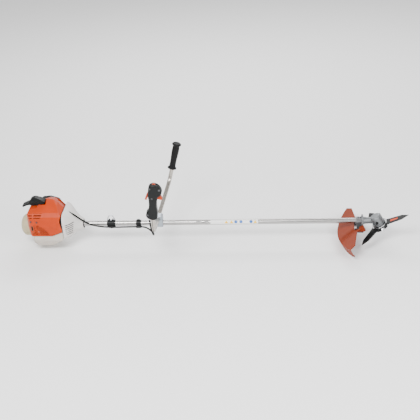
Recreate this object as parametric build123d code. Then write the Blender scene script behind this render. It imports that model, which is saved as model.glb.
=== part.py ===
from build123d import *
from math import sin, cos, tan, radians, degrees, pi, atan2, hypot, asin, acos
import os

os.makedirs("parts", exist_ok=True)

# ---------------------------------------------------------------- driving dimensions (mm)
# X runs forward along the drive tube, Y to the operator's left, Z up.
# The origin lies on the tube's axis, under the middle of the handlebar clamp.
TUBE_R = 12.7                # drive tube, 25.4 mm outside
TUBE_BORE_R = 11.2
TUBE_REAR_X = -384.0
TUBE_FRONT_X = 962.0
SHAFT_R = 4.0                # drive shaft
RUN = 0.05                   # radial running clearance
GAP = 0.3                    # clearance between bodies that don't fit into each other

HEAD_X = 1040.0              # where the output axis crosses the tube's axis
HEAD_TILT = 28.0             # output axis leans forward from straight down, degrees
PINION_TEETH = 15
GEAR_TEETH = 21
MODULE = 1.5
KNIFE_R = 150.0              # three-armed knife, 300 mm across
KNIFE_S = 23.4               # knife's upper face, measured down the output axis
KNIFE_T = 3.6
KNIFE_TURN = 12.5            # first arm's angle, from forward towards the operator's right
TOOL_BORE_R = 10.0

BAR_R = 10.0                 # handlebar tube
BAR_BORE_R = 8.2
BAR_Z = 27.0                 # handlebar's middle, above the tube's axis
GRIP_LEAN = 14.5             # forward lean of the left upright, degrees
CONTROL_LEAN = 5.0           # forward lean of the right upright
SPLAY = 4.0                  # outward lean of both

RING_X = -231.0              # carrying ring clamp
CLIP_X = -97.0               # cable clip
CABLE_R = 4.0
EYE_X = 9.0                  # half spacing of the ring clamp's eyes

SHELL = 3.0                  # wall of the moulded engine covers
CRANK_X = -545.0             # cylinder's axis
BORE_R = 20.0
STROKE = 32.0
ROPE_X = -604.0              # plane of the rope pulley
PULLEY_R = 28.0
ROPE_R = 1.8
SCREW_R = 2.5
SCREW_HEAD_R = 4.4


# ---------------------------------------------------------------- helpers
def save(shape, name):
    export_step(shape, f"parts/{name}.step")


def block(x0, x1, y0, y1, z0, z1):
    return Pos((x0 + x1) / 2, (y0 + y1) / 2, (z0 + z1) / 2) * Box(x1 - x0, y1 - y0, z1 - z0)


def rod(start, end, radius):
    """A round bar between two points."""
    a = Vector(*start)
    b = Vector(*end)
    axis = b - a
    return Plane(origin=a, z_dir=axis) * Cylinder(radius, axis.length, align=(Align.CENTER, Align.CENTER, Align.MIN))


def along_x(x0, x1, radius, y=0.0, z=0.0):
    return rod((x0, y, z), (x1, y, z), radius)


def ring_x(x0, x1, outer, inner, y=0.0, z=0.0):
    return along_x(x0, x1, outer, y, z) - along_x(x0 - 1, x1 + 1, inner, y, z)


def rounded(points, radius):
    """A closed outline with every corner rounded."""
    face = make_face(Polyline(*points, close=True))
    return fillet(face.vertices(), radius)


def side(face, y0, y1):
    """A face drawn as (x, z), extruded from y0 to y1."""
    return extrude(Plane(origin=(0, y1, 0), x_dir=(1, 0, 0), z_dir=(0, -1, 0)) * face, y1 - y0)


def front(face, x0, x1):
    """A face drawn as (y, z), extruded from x0 to x1."""
    return extrude(Plane(origin=(x0, 0, 0), x_dir=(0, 1, 0), z_dir=(1, 0, 0)) * face, x1 - x0)


def plan(face, z0, z1):
    """A face drawn as (x, y), extruded from z0 to z1."""
    return extrude(Pos(0, 0, z0) * face, z1 - z0)


def screw(at, axis, length=14.0):
    """A pan-head screw with a hexagon socket: head on the surface, shank going in."""
    out = Vector(*axis).normalized()
    place = Plane(origin=Vector(*at), z_dir=out)
    head = Cylinder(SCREW_HEAD_R, 3.2, align=(Align.CENTER, Align.CENTER, Align.MIN))
    head = chamfer(head.edges().sort_by(Axis.Z)[-1], 0.7)
    socket = Pos(0, 0, 1.4) * extrude(RegularPolygon(2.2, 6), 3)
    shank = Pos(0, 0, -length) * Cylinder(SCREW_R, length, align=(Align.CENTER, Align.CENTER, Align.MIN))
    return place * (head - socket + shank)


def screw_hole(at, axis, length=14.0):
    out = Vector(*axis).normalized()
    place = Plane(origin=Vector(*at), z_dir=out)
    shank = Pos(0, 0, -length) * Cylinder(SCREW_R, length, align=(Align.CENTER, Align.CENTER, Align.MIN))
    head = Cylinder(SCREW_HEAD_R + 0.6, 30, align=(Align.CENTER, Align.CENTER, Align.MIN))
    return place * (shank + head)


# ---------------------------------------------------------------- cutting head
# Head frame: local x points forward and up in the knife's plane, local z down the output axis.
tilt = radians(HEAD_TILT)
HEAD = Plane(origin=(HEAD_X, 0, 0), x_dir=(cos(tilt), 0, sin(tilt)), z_dir=(sin(tilt), 0, -cos(tilt)))


def head_disc(s0, s1, radius):
    return HEAD * Pos(0, 0, s0) * Cylinder(radius, s1 - s0, align=(Align.CENTER, Align.CENTER, Align.MIN))


def head_ring(s0, s1, outer, inner):
    return head_disc(s0, s1, outer) - head_disc(s0 - 1, s1 + 1, inner)


OUTPUT_R = 6.0
PILOT_R = 3.0                # upper end of the output shaft
THRUST_R = 38.0
WASHER_R = 24.0
RIDER_R = 36.0


def make_knife():
    """Three pointed arms on a round hub, with bevelled cutting edges."""
    hub = Circle(33)
    arm = make_face(Polyline((0, 28), (50, 20.5), (118, 16.5), (KNIFE_R, 0), (118, -16.5), (50, -20.5),
                             (0, -28), close=True))
    outline = hub
    for k in range(3):
        outline += Rot(0, 0, KNIFE_TURN + 120 * k) * arm
    outline = fillet(outline.vertices().filter_by(lambda v: hypot(v.X, v.Y) < 60), 6)
    knife = extrude(outline, KNIFE_T)
    cutting = knife.edges().filter_by(lambda e: hypot(e.center().X, e.center().Y) > 110)
    cutting = cutting.filter_by(lambda e: 30 < e.length < 40)
    knife = chamfer(cutting, 1.2, 1.2)
    knife -= Cylinder(TOOL_BORE_R, 20)
    return HEAD * Pos(0, 0, KNIFE_S) * knife


def make_thrust_plate():
    plate = head_disc(KNIFE_S - 3.4, KNIFE_S, THRUST_R) + head_disc(KNIFE_S - 6.2, KNIFE_S - 3.4, 22)
    plate += head_disc(KNIFE_S, KNIFE_S + 2.4, TOOL_BORE_R - RUN)
    plate -= head_disc(0, 60, OUTPUT_R)
    hole = HEAD * Pos(26, 0, KNIFE_S - 4) * Cylinder(3, 20)
    return plate - hole


def make_thrust_washer():
    s = KNIFE_S + KNIFE_T
    washer = head_disc(s, s + 2.2, WASHER_R) + head_disc(s + 2.2, s + 4, 14)
    return washer - head_disc(0, 80, OUTPUT_R)


def make_rider_plate():
    """A pressed dish that turns freely on the nut's collar."""
    s = KNIFE_S + KNIFE_T + 4.3
    wall = 1.6
    profile = make_face(Polyline((12.05, s), (20, s), (28, s + 9), (RIDER_R - 3, s + 13), (RIDER_R, s + 11),
                                 (RIDER_R, s + 11 + wall), (RIDER_R - 3, s + 13 + 1.3 * wall), (27, s + 9 + wall),
                                 (19.2, s + wall), (12.05, s + wall), close=True))
    return HEAD * revolve(Plane.XZ * profile, Axis.Z)


def make_blade_nut():
    s = KNIFE_S + KNIFE_T + 4
    collar = head_disc(s, s + 2.4, 12.0) + head_disc(s + 2.4, s + 4, 15.5)
    hexagon = HEAD * Pos(0, 0, s + 4) * extrude(RegularPolygon(9.8, 6), 9)
    nut = collar + hexagon
    return nut - head_disc(0, 80, OUTPUT_R)


def make_output_shaft():
    return head_disc(0, KNIFE_S + KNIFE_T + 19, OUTPUT_R) + head_disc(-23, 0, PILOT_R)


SHAFT_ANGLE = 90.0 + HEAD_TILT
pinion_cone = atan2(sin(radians(SHAFT_ANGLE)), GEAR_TEETH / PINION_TEETH + cos(radians(SHAFT_ANGLE)))
gear_cone = radians(SHAFT_ANGLE) - pinion_cone
CONE = MODULE * PINION_TEETH / 2 / sin(pinion_cone)     # outer cone distance
FACE = 4.6                                              # face width of the teeth


def bevel_gear(teeth, cone, first_tooth, hub_r, hub_length, bore_r):
    """Straight bevel gear about local +Z, apex at the local origin, teeth tapering to the apex."""
    root = cone - asin(1.05 * MODULE / CONE)
    inner = CONE - FACE
    # the blank is a slice of the root cone, closed behind by the hub
    outer_r = CONE * sin(root)
    outer_z = CONE * cos(root)
    inner_r = inner * sin(root)
    inner_z = inner * cos(root)
    blank = make_face(Polyline((bore_r, inner_z), (inner_r, inner_z), (outer_r, outer_z),
                               (hub_r, outer_z + 1.5), (hub_r, outer_z + hub_length),
                               (bore_r, outer_z + hub_length), close=True))
    gear = revolve(Plane.XZ * blank, Axis.Z)
    tooth = []
    for distance in (inner - 0.3, CONE):
        scale = distance / CONE
        pitch_half = 0.36 * pi * MODULE / 2 * scale
        top = 0.72 * MODULE * scale
        bottom = -1.3 * MODULE * scale
        corners = ((bottom, pitch_half * 1.45), (0, pitch_half), (top, pitch_half * 0.62))
        points = [(h, w) for h, w in corners] + [(h, -w) for h, w in reversed(corners)]
        place = Plane(origin=(distance * sin(cone), 0, distance * cos(cone)), x_dir=(cos(cone), 0, -sin(cone)),
                      z_dir=(sin(cone), 0, cos(cone)))
        tooth.append(place * make_face(Polyline(*points, close=True)))
    tooth = loft(tooth, ruled=True)
    for k in range(teeth):
        gear += Rot(0, 0, degrees(first_tooth) + 360 / teeth * k) * tooth
    return gear


def make_output_gear():
    # local +x of the head frame points away from the pinion, so the mesh line lies at 180 degrees
    half_pitch = pi / GEAR_TEETH
    return HEAD * bevel_gear(GEAR_TEETH, gear_cone, pi + half_pitch, 11.0, 2.4, OUTPUT_R)


def make_pinion():
    place = Plane(origin=(HEAD_X, 0, 0), x_dir=(0, 0, -1), z_dir=(-1, 0, 0))
    return place * bevel_gear(PINION_TEETH, pinion_cone, 0.0, 6.6, 3.0, SHAFT_R)


def ball_bearing(inner_r, outer_r, width, balls):
    """Two rings and their balls, about local +Z from 0 to width."""
    mid = (inner_r + outer_r) / 2
    ball_r = 0.3 * (outer_r - inner_r)
    wall = 0.27 * (outer_r - inner_r)
    track = Pos(0, 0, width / 2) * Torus(mid, ball_r + 0.05)
    low = (Align.CENTER, Align.CENTER, Align.MIN)
    inner = Cylinder(inner_r + wall, width, align=low) - Cylinder(inner_r, width, align=low) - track
    outer = Cylinder(outer_r, width, align=low) - Cylinder(outer_r - wall, width, align=low) - track
    solids = [inner, outer]
    for k in range(balls):
        solids.append(Rot(0, 0, 360 / balls * k) * Pos(mid, 0, width / 2) * Sphere(ball_r))
    return solids


LOWER_BEARING_S = 10.0
UPPER_BEARING_S = -22.0
PINION_BEARING_X = 1002.0


def make_gearbox_bearings():
    solids = [HEAD * Pos(0, 0, LOWER_BEARING_S) * s for s in ball_bearing(OUTPUT_R + RUN, 16, 7, 8)]
    solids += [HEAD * Pos(0, 0, UPPER_BEARING_S) * s for s in ball_bearing(PILOT_R + RUN, 11, 6, 7)]
    rear = Plane(origin=(PINION_BEARING_X, 0, 0), x_dir=(0, 1, 0), z_dir=(1, 0, 0))
    solids += [rear * s for s in ball_bearing(SHAFT_R + RUN, 11, 7, 7)]
    return Compound(children=solids)


CLAMP_REAR_X = 940.0
PLUG_AT = (HEAD_X - 3, -27.0, 0.0)


def make_gearbox_housing():
    """Die casting: split clamp sleeve, flange for the deflector, neck and the tilted gear barrel."""
    body = along_x(CLAMP_REAR_X, 978, 18)
    body += loft([Plane(origin=(974, 0, 0), z_dir=(1, 0, 0)) * Circle(18),
                  Plane(origin=(990, 0, 0), z_dir=(1, 0, 0)) * Circle(15.5)])
    body += along_x(988, 1034, 15.5)
    flange = make_face(Polyline((-24, 17), (-9, 29), (9, 29), (24, 17), (30, -30), (18, -38), (-18, -38),
                                (-30, -30), close=True))
    body += front(fillet(flange.vertices(), 5), 966, 974)
    body += block(944, 970, -16, 16, -36, -8)
    body += block(942, 967, -16, -3, 8, 22)
    barrel = head_disc(-27, 17, 27)
    barrel = fillet(barrel.edges().filter_by(GeomType.CIRCLE).sort_by(Axis.Z)[-1], 9)
    body += barrel
    body += head_disc(12.5, 17, 31)
    for angle in (35, 145, 215, 325):
        rib = HEAD * Rot(0, 0, angle) * Pos(27, 0, -4) * Box(6, 3.4, 33)
        body += rib
    boss = rod((PLUG_AT[0], -20, 0), (PLUG_AT[0], PLUG_AT[1], 0), 9.5)
    body += boss
    cavity = head_disc(UPPER_BEARING_S + 6, LOWER_BEARING_S, 18.5)
    cavity += head_disc(UPPER_BEARING_S, UPPER_BEARING_S + 6, 11)
    cavity += head_disc(LOWER_BEARING_S, 18, 16)
    cavity += head_disc(-25, UPPER_BEARING_S, 7)
    cavity += along_x(PINION_BEARING_X + 7, HEAD_X, 13.2)
    cavity += along_x(PINION_BEARING_X, PINION_BEARING_X + 7, 11)
    cavity += along_x(TUBE_FRONT_X - 2, PINION_BEARING_X, 8)
    cavity += along_x(CLAMP_REAR_X - 1, TUBE_FRONT_X, TUBE_R)
    cavity += block(CLAMP_REAR_X - 1, 972, -2, 2, 6, 30)
    cavity += rod((PLUG_AT[0], -10, 0), (PLUG_AT[0], -29, 0), 5.0)
    for x, y in ((951, -9.5), (962, -9.5)):
        cavity += screw_hole((x, y, 22), (0, 0, 1), 8)
    for y in (-11, 11):
        cavity += rod((957, y, -37), (957, y, -24), SCREW_R)
    return body - cavity


def make_grease_plug():
    x, y, z = PLUG_AT
    plug = rod((x, -19.2, z), (x, y, z), 5.0) + rod((x, y, z), (x, y - 3, z), 7.2)
    socket = Plane(origin=(x, y - 4, z), x_dir=(1, 0, 0), z_dir=(0, 1, 0)) * extrude(RegularPolygon(3.2, 6), 3)
    return plug - socket


# the deflector's plate lies parallel to the knife, above it
PLATE_S = -25.0
PLATE_T = 3.0
SKIRT_H = 46.0
REAR_R = 338.0               # radius of the rear edge
REAR_U = -197.0              # rear edge's middle, along the head's local x
HALF_W = 190.0


def make_deflector():
    """A fan-shaped plate with a skirt on its rear edge and a mounting box under the gearbox clamp."""
    end_u = REAR_U + REAR_R - (REAR_R ** 2 - HALF_W ** 2) ** 0.5
    centre = REAR_U + REAR_R
    fan = make_face(Polyline((REAR_U - 5, HALF_W), (end_u, HALF_W), (end_u + 26, 168), (-96, 56), (-62, 49),
                             (-62, -49), (-96, -56), (end_u + 26, -168), (end_u, -HALF_W),
                             (REAR_U - 5, -HALF_W), close=True))
    solid = extrude(fan & Pos(centre, 0) * Circle(REAR_R), PLATE_T)
    band = Pos(centre, 0) * (Circle(REAR_R) - Circle(REAR_R - 3.2))
    band &= Pos(end_u - 60, 0) * Rectangle(120, 2 * HALF_W)
    skirt = extrude(band, SKIRT_H)
    lip = Pos(centre, 0, SKIRT_H - 3) * extrude((Circle(REAR_R) - Circle(REAR_R - 8)), 3)
    lip &= Pos(end_u - 60, 0, SKIRT_H) * Box(120, 2 * HALF_W, 20)
    solid += skirt + lip
    for y in (-47.5, 47.5):
        wall = make_face(Polyline((-118, 0), (-62, 0), (-62, 24), (-70, 24), close=True))
        solid += Pos(0, y + 1.5, 0) * extrude(Plane.XZ * wall, 3)
    solid += Pos(-63.5, 0, 12) * Box(3, 98, 24)
    solid = HEAD * Pos(0, 0, PLATE_S) * solid
    # room for the casting and the bracket that pass through the mounting box
    notch = block(936, 1010, -31, 31, -40, 60) + block(933, 975, -44.3, 44.3, -41.3, -17.5)
    return solid - notch


def make_deflector_bracket():
    """Steel bracket that carries the deflector under the gearbox clamp."""
    strap = block(934, 974, -44, 44, -41, -38.2)
    strap -= block(933, 945, -12, 12, -50, -30)
    ears = block(934, 974, -44, -41, -38.2, -18) + block(934, 974, 41, 44, -38.2, -18)
    bracket = strap + ears
    for y in (-11, 11):
        bracket -= rod((957, y, -50), (957, y, -30), SCREW_R)
    return bracket


# ---------------------------------------------------------------- drive tube and what sits on it
DRUM_X = -432.0
DRUM_R = 33.0


def make_drive_shaft():
    return along_x(DRUM_X + 6.2, HEAD_X - CONE * cos(pinion_cone) - 1.0, SHAFT_R)


def make_shaft_bushings():
    rings = []
    for k in range(5):
        x = TUBE_REAR_X + 60 + k * (TUBE_FRONT_X - TUBE_REAR_X - 120) / 4
        rings.append(ring_x(x - 9, x + 9, TUBE_BORE_R, SHAFT_R + RUN))
    return Compound(children=rings)


def make_ring_clamp():
    """Split sleeve with two eyes for the wire ring."""
    clamp = ring_x(RING_X - 20, RING_X + 20, 17, TUBE_R)
    clamp = chamfer(clamp.edges().filter_by(GeomType.CIRCLE).filter_by(lambda e: e.radius > 16), 1.5)
    for x in (RING_X - EYE_X, RING_X + EYE_X):
        clamp += block(x - 3.5, x + 3.5, -6, 6, 14, 23)
    clamp += block(RING_X - 14, RING_X + 14, -6, 6, -24, -15)
    clamp -= block(RING_X - 21, RING_X + 21, -1, 1, -30, -11)
    clamp -= along_x(RING_X - 30, RING_X + 30, 2.0 + RUN, 0, 18.5)
    clamp -= rod((RING_X, -8, -20), (RING_X, 8, -20), SCREW_R)
    return clamp


RING_H = 25.0


def make_carrying_ring():
    """Triangular wire ring, its base running through both eyes."""
    x0, x1 = RING_X - 21, RING_X + 21
    base = 18.5
    apex = base + RING_H
    path = FilletPolyline((x0, 0, base), (RING_X - 7, 0, apex), (RING_X + 7, 0, apex), (x1, 0, base),
                          radius=4, close=True)
    section = Plane(origin=path @ 0, z_dir=path % 0) * Circle(2.0)
    return sweep(section, path=path)


def make_cable_clip():
    clip = ring_x(CLIP_X - 12, CLIP_X + 12, 15.2, TUBE_R)
    clip += along_x(CLIP_X - 12, CLIP_X + 12, 7.0, CLIP_Y, CLIP_Z)
    clip += block(CLIP_X - 7, CLIP_X + 7, -4, 4, 14, 20)
    clip -= along_x(CLIP_X - 13, CLIP_X + 13, TUBE_R)
    clip -= along_x(CLIP_X - 13, CLIP_X + 13, CABLE_R, CLIP_Y, CLIP_Z)
    return clip


CLIP_Y = -13.0
CLIP_Z = -13.5
CABLE_ROUTE = ((-446, -12, 76), (-420, -16, 72), (-385, -21, 45), (-340, -23, 11), (-290, -22, -5),
               (-232, -20.5, -10.5), (-176, -15, -13.3), (CLIP_X - 12, CLIP_Y, CLIP_Z),
               (CLIP_X + 12, CLIP_Y, CLIP_Z), (-60, -30, -7), (-36, -72, 8), (-16, -122, 28), (2, -176, 50),
               (13, -222, 68), (15, -253, 92), (9, -260, 128), (7, -257, 168))


def corner_radii(points):
    """Each arc takes 0.45 of the shorter run beside its corner."""
    radii = []
    for a, b, c in zip(points, points[1:], points[2:]):
        first = Vector(*b) - Vector(*a)
        second = Vector(*c) - Vector(*b)
        turn = radians(first.get_angle(second))
        radii.append(0.45 * min(first.length, second.length) / tan(turn / 2))
    return radii


def make_throttle_cable():
    radii = corner_radii(CABLE_ROUTE)
    path = FilletPolyline(*CABLE_ROUTE, radius=radii)
    section = Plane(origin=path @ 0, z_dir=path % 0) * Circle(CABLE_R)
    cable = sweep(section, path=path)
    print("throttle cable length", round(path.length))
    return cable


# ---------------------------------------------------------------- handlebar
LEFT_BEND = Vector(33, 237, 104)
RIGHT_BEND = Vector(15, -237, 95)


def upright(bend, lean, splay_sign, height):
    """Point on an upright, this far above its bend."""
    return bend + Vector(tan(radians(lean)) * height, splay_sign * tan(radians(SPLAY)) * height, height)


LEFT_END = upright(LEFT_BEND, GRIP_LEAN, 1, 194)
RIGHT_END = upright(RIGHT_BEND, CONTROL_LEAN, -1, 176)


def make_handlebar():
    route = (RIGHT_END, RIGHT_BEND, Vector(0, -30, BAR_Z), Vector(0, 30, BAR_Z), LEFT_BEND, LEFT_END)
    path = FilletPolyline(*route, radius=[55, 60, 60, 55])
    start = Plane(origin=path @ 0, z_dir=path % 0)
    return sweep(start * Circle(BAR_R), path=path) - sweep(start * Circle(BAR_BORE_R), path=path)




def make_clamp_lower():
    """Lower half: round the tube below, a half seat for the handlebar above, with its own screw ears."""
    body = block(-20, 22, -19, 19, -17, BAR_Z - 0.8)
    body = fillet(body.edges().filter_by(Axis.X).sort_by(Axis.Z)[:2], 8)
    body = chamfer(body.edges().filter_by(Axis.Y), 2)
    body -= along_x(-30, 30, TUBE_R)
    body -= rod((0, -30, BAR_Z), (0, 30, BAR_Z), BAR_R + RUN)
    for x in (-15.5, 16.5):
        body -= rod((x, 0, 12), (x, 0, 40), SCREW_R)
    return body


def make_clamp_upper():
    body = block(-20, 22, -19, 19, BAR_Z + 0.8, BAR_Z + 15)
    body = fillet(body.edges().filter_by(Axis.Y).sort_by(Axis.Z)[-2:], 9)
    body -= rod((0, -30, BAR_Z), (0, 30, BAR_Z), BAR_R + RUN)
    for x in (-15.5, 16.5):
        body -= rod((x, 0, 12), (x, 0, 60), SCREW_R + RUN)
        body -= rod((x, 0, BAR_Z + 10), (x, 0, 60), 5)
    return body


def make_clamp_screws():
    """Two clamp screws, heads in the upper half's pockets."""
    return Compound(children=[screw((x, 0, BAR_Z + 10), (0, 0, 1), 22) for x in (-15.5, 16.5)])


def on_upright(bend, lean, splay_sign, height):
    """A plane across an upright: local x forward, local z up the bar."""
    axis = Vector(tan(radians(lean)), splay_sign * tan(radians(SPLAY)), 1)
    return Plane(origin=upright(bend, lean, splay_sign, height), x_dir=Vector(1, 0, -tan(radians(lean))), z_dir=axis)


def make_left_grip():
    """Rubber sleeve with a flange at each end and ribs along it, closed over the bar's end."""
    place = on_upright(LEFT_BEND, GRIP_LEAN, 1, 66)
    length = 136
    end = (LEFT_END - place.origin).length
    outline = Curve() + [Line((BAR_R, 0), (22, 0)), Line((22, 0), (22, 3)), Line((22, 3), (16.5, 8)),
                         Spline((16.5, 8), (15.4, 40), (17.2, 75), (16.2, length - 14)),
                         Line((16.2, length - 14), (22.5, length - 8)), Line((22.5, length - 8), (22.5, length - 5)),
                         Line((22.5, length - 5), (18, length)), Line((18, length), (0, length)),
                         Line((0, length), (0, end)), Line((0, end), (BAR_R, end)), Line((BAR_R, end), (BAR_R, 0))]
    grip = revolve(Plane.XZ * make_face(outline), Axis.Z)
    for k in range(10):
        grip -= Rot(0, 0, 36 * k + 18) * Pos(17.6, 0, length / 2) * Box(2.6, 2.0, length - 42)
    return place * grip


# the control handle's own frame: origin on the right upright, local x forward, local z up the bar
HANDLE = on_upright(RIGHT_BEND, CONTROL_LEAN, -1, 72)
TRIGGER_PIVOT = (14.0, 142.0)
LOCK_PIVOT = (-15.5, 147.0)


def handle_outline():
    """Side view of the control handle: flared foot, neck and rounded head."""
    return make_face(Curve() + [
        Spline((-31, 22), (-24, 8), (-6, 0), (14, 3), (21, 14)), Line((21, 14), (22, 40)),
        Spline((22, 40), (19, 62), (20, 106), (23, 122)), Line((23, 122), (34, 130)),
        Spline((34, 130), (41, 148), (33, 170), (14, 184), (-7, 183), (-19, 168)), Line((-19, 168), (-22, 126)),
        Line((-22, 126), (-19, 112)), Spline((-19, 112), (-17, 80), (-19, 52)), Line((-19, 52), (-29, 38)),
        Line((-29, 38), (-31, 22))])


HANDLE_HALF = 17.5
HANDLE_SCREWS = ((-12, 167), (30, 163), (-3, 116), (-22, 27))


def handle_solid():
    face = handle_outline()
    body = extrude(Plane.XZ * face, HANDLE_HALF, both=True)
    rims = body.edges().filter_by(lambda e: abs(abs(e.center().Y) - HANDLE_HALF) < 0.01)
    return fillet(rims, 8)


def handle_cavity():
    """Space for the bar, the trigger, the interlock, the switch and the cable's end."""
    low = (Align.CENTER, Align.CENTER, Align.MIN)
    room = Pos(0, 0, -5) * Cylinder(BAR_R, 111, align=low)
    slot = make_face(Polyline((4, 97), (60, 97), (60, 129), (36, 158), (4, 158), close=True))
    room += extrude(Plane.XZ * slot, 7.5, both=True)
    slot = make_face(Polyline((-50, 98), (-13.5, 98), (-11, 155), (-24, 155), (-50, 140), close=True))
    room += extrude(Plane.XZ * slot, 5.5, both=True)
    room += Pos(8, 0, 182) * Box(24, 9, 16)
    room += Pos(-14, 0, -4) * Cylinder(3.2, 30, align=low)
    return room


def handle_half(left):
    body = handle_solid() - handle_cavity()
    keep = Pos(0, 50 if left else -50, 90) * Box(200, 100, 300)
    half = body & keep
    for x, z in HANDLE_SCREWS:
        half -= rod((x, -20, z), (x, 14, z), SCREW_R)
        half -= rod((x, -20, z), (x, -HANDLE_HALF + 2.6, z), SCREW_HEAD_R + 0.4)
    for x, z in (TRIGGER_PIVOT, LOCK_PIVOT):
        half -= rod((x, -10.5, z), (x, 10.5, z), 2.0 + RUN)
    return HANDLE * half


def make_handle_screws():
    solids = []
    for x, z in HANDLE_SCREWS:
        solids.append(HANDLE * screw((x, -HANDLE_HALF + 2.6, z), (0, -1, 0), 26))
    return Compound(children=solids)


def make_trigger():
    """Finger lever, pivoting inside the head on its own pin."""
    px, pz = TRIGGER_PIVOT
    lever = make_face(Polyline((px - 3, pz + 7), (px + 9, pz + 6), (24, 134), (37, 127), (44, 112), (38, 108),
                               (22, 111), (12, 118), (px - 5, pz - 6), close=True))
    lever = fillet(lever.vertices(), 2)
    body = extrude(Plane.XZ * lever, 7.0, both=True)
    body += rod((px, -10, pz), (px, 10, pz), 2.0)
    return HANDLE * body


def make_interlock():
    """Palm lever at the back of the handle."""
    px, pz = LOCK_PIVOT
    lever = make_face(Polyline((px - 3.5, pz + 4), (px + 3, pz + 4), (px + 2.5, pz - 6), (-20, 128), (-27, 102),
                               (-36, 104), (-30, 124), (-23.5, 140), close=True))
    lever = fillet(lever.vertices(), 1.2)
    body = extrude(Plane.XZ * lever, 5.0, both=True)
    body += rod((px, -10, pz), (px, 10, pz), 2.0)
    return HANDLE * body


def make_stop_switch():
    """Sliding stop button on top of the head."""
    body = Pos(5, 0, 180) * Box(14, 8, 10) + Pos(5, 0, 186) * Box(9, 7, 4)
    body = fillet(body.edges().filter_by(Axis.Y).sort_by(Axis.Z)[-2:], 1.2)
    return HANDLE * body


# ---------------------------------------------------------------- engine covers
SHROUD_SIDE = ((-612, -14), (-621, 30), (-620, 94), (-612, 112), (-574, 116), (-560, 133), (-530, 142), (-502, 138),
               (-480, 122), (-455, 90), (-462, 60), (-453, 8), (-506, -14))
SHROUD_FRONT = ((-88, -30), (-94, 40), (-88, 86), (-70, 103), (-14, 130), (26, 144), (50, 138), (64, 112),
                (66, 20), (66, -30))
SHROUD_PLAN = ((-626, -62), (-606, -90), (-540, -96), (-446, -92), (-446, 70), (-600, 70), (-626, 50))


# towards the far side the roof falls away from the same outline, by this much per millimetre
FAR_FALL = 0.42
SHROUD_FAR = ((-660, -100), (-660, 138), *SHROUD_SIDE[5:10], (-430, 58), (-430, -100))


def cover(offset_by):
    """The shroud's envelope, shrunk by this much: three outlines crossed."""
    outlines = [offset(rounded(points, r), amount=-offset_by) if offset_by else rounded(points, r)
                for points, r in ((SHROUD_SIDE, 7), (SHROUD_FRONT, 16), (SHROUD_PLAN, 14), (SHROUD_FAR, 7))]
    solid = side(outlines[0], -130, 130)
    solid &= front(outlines[1], -700, -400)
    solid &= plan(outlines[2], -60, 200)
    falling = Plane(origin=(0, 0, 0), x_dir=(1, 0, 0), z_dir=(0, -1, 0)) * outlines[3]
    far_half = extrude(falling, 130 * hypot(1, FAR_FALL), dir=(0, 1, -FAR_FALL))
    return solid & (block(-700, -400, -130, 0, -60, 200) + far_half)


def side_slot(x0, x1, z, height):
    return block(x0, x1, -120, -70, z - height / 2, z + height / 2)


EXHAUST_X = -598.0
EXHAUST_Z = 28.0
GRILLE_ROWS = 12
SHROUD_FRONT_OPENING = ((-520, -10), (-520, 112), (-484, 112), (-462, 84), (-440, 56), (-440, -10))


def make_shroud():
    """Orange cover: open below and in front, with louvres, a muffler grille and an exhaust window."""
    shell = (cover(0) - grip_pocket(1.5)) - (cover(SHELL) - grip_pocket(1.5 + SHELL))
    shell -= block(-609, -470, -84, 62, -60, 20)
    opening = front(offset(rounded(SHROUD_FRONT, 16), amount=-SHELL), -520, -400)
    shell -= opening & side(make_face(Polyline(*SHROUD_FRONT_OPENING, close=True)), -100, 100)
    for row in range(3):
        z = 84 + 9 * row
        shell -= side_slot(-612, -592, z, 4)
        shell -= side_slot(-585, -552 + 4 * row, z, 4)
    for row in range(GRILLE_ROWS):
        z = -6 + 4.6 * row
        rib = -584 + 0.28 * (48 - z)
        rear = -603 if z < EXHAUST_Z - 20 else -589
        shell -= side_slot(rear, rib - 2.2, z, 2.5)
        shell -= side_slot(rib + 2.2, -518 - 0.013 * (z + 14) ** 2, z, 2.5)
    shell -= block(EXHAUST_X - 5, EXHAUST_X + 5, -120, -70, EXHAUST_Z - 14, EXHAUST_Z + 14)
    # the rear opening that the starter housing fills, and the rope's way out
    shell -= along_x(-640, -606, 56)
    shell -= rod((ROPE_X, ROPE_Y, 90), (ROPE_X, ROPE_Y, 130), 4.5)
    for x, z in SHROUD_SCREWS:
        shell -= screw_hole((x, SHROUD_SCREW_Y, z), (0, -1, 0), 20)
    # far side: intake window behind the filter cover, and holes for the choke knob and the primer bulb
    shell -= block(-592, -492, 58, 70, 28, 80)
    x, y, z = CHOKE_AT
    shell -= rod((x, y - 20, z), (x, y + 3, z), 3 + RUN)
    x, y, z = BULB_AT
    shell -= rod((x, y - 20, z), (x, y + 3, z), BULB_R + GAP)
    return shell


ROPE_Y = -8.0
SHROUD_SCREWS = ((-600, 66), (-572, 62))
SHROUD_SCREW_Y = -90.0

HOUSING_SECTIONS = ((-452, 86, -50, 88, 30), (-436, 80, -47, 82, 34), (-414, 60, -40, 66, 38), (-392, 38, -29, 42, 27),
                    (-367, 27, -27, 27, 26.5))


def housing_section(x, half, low, high, corner, inset):
    width = 2 * (half - inset)
    height = high - low - 2 * inset
    face = RectangleRounded(width, height, min(corner, width / 2 - 0.2, height / 2 - 0.2))
    return Plane(origin=(x, 0, (low + high) / 2), x_dir=(0, 1, 0), z_dir=(1, 0, 0)) * face


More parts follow.
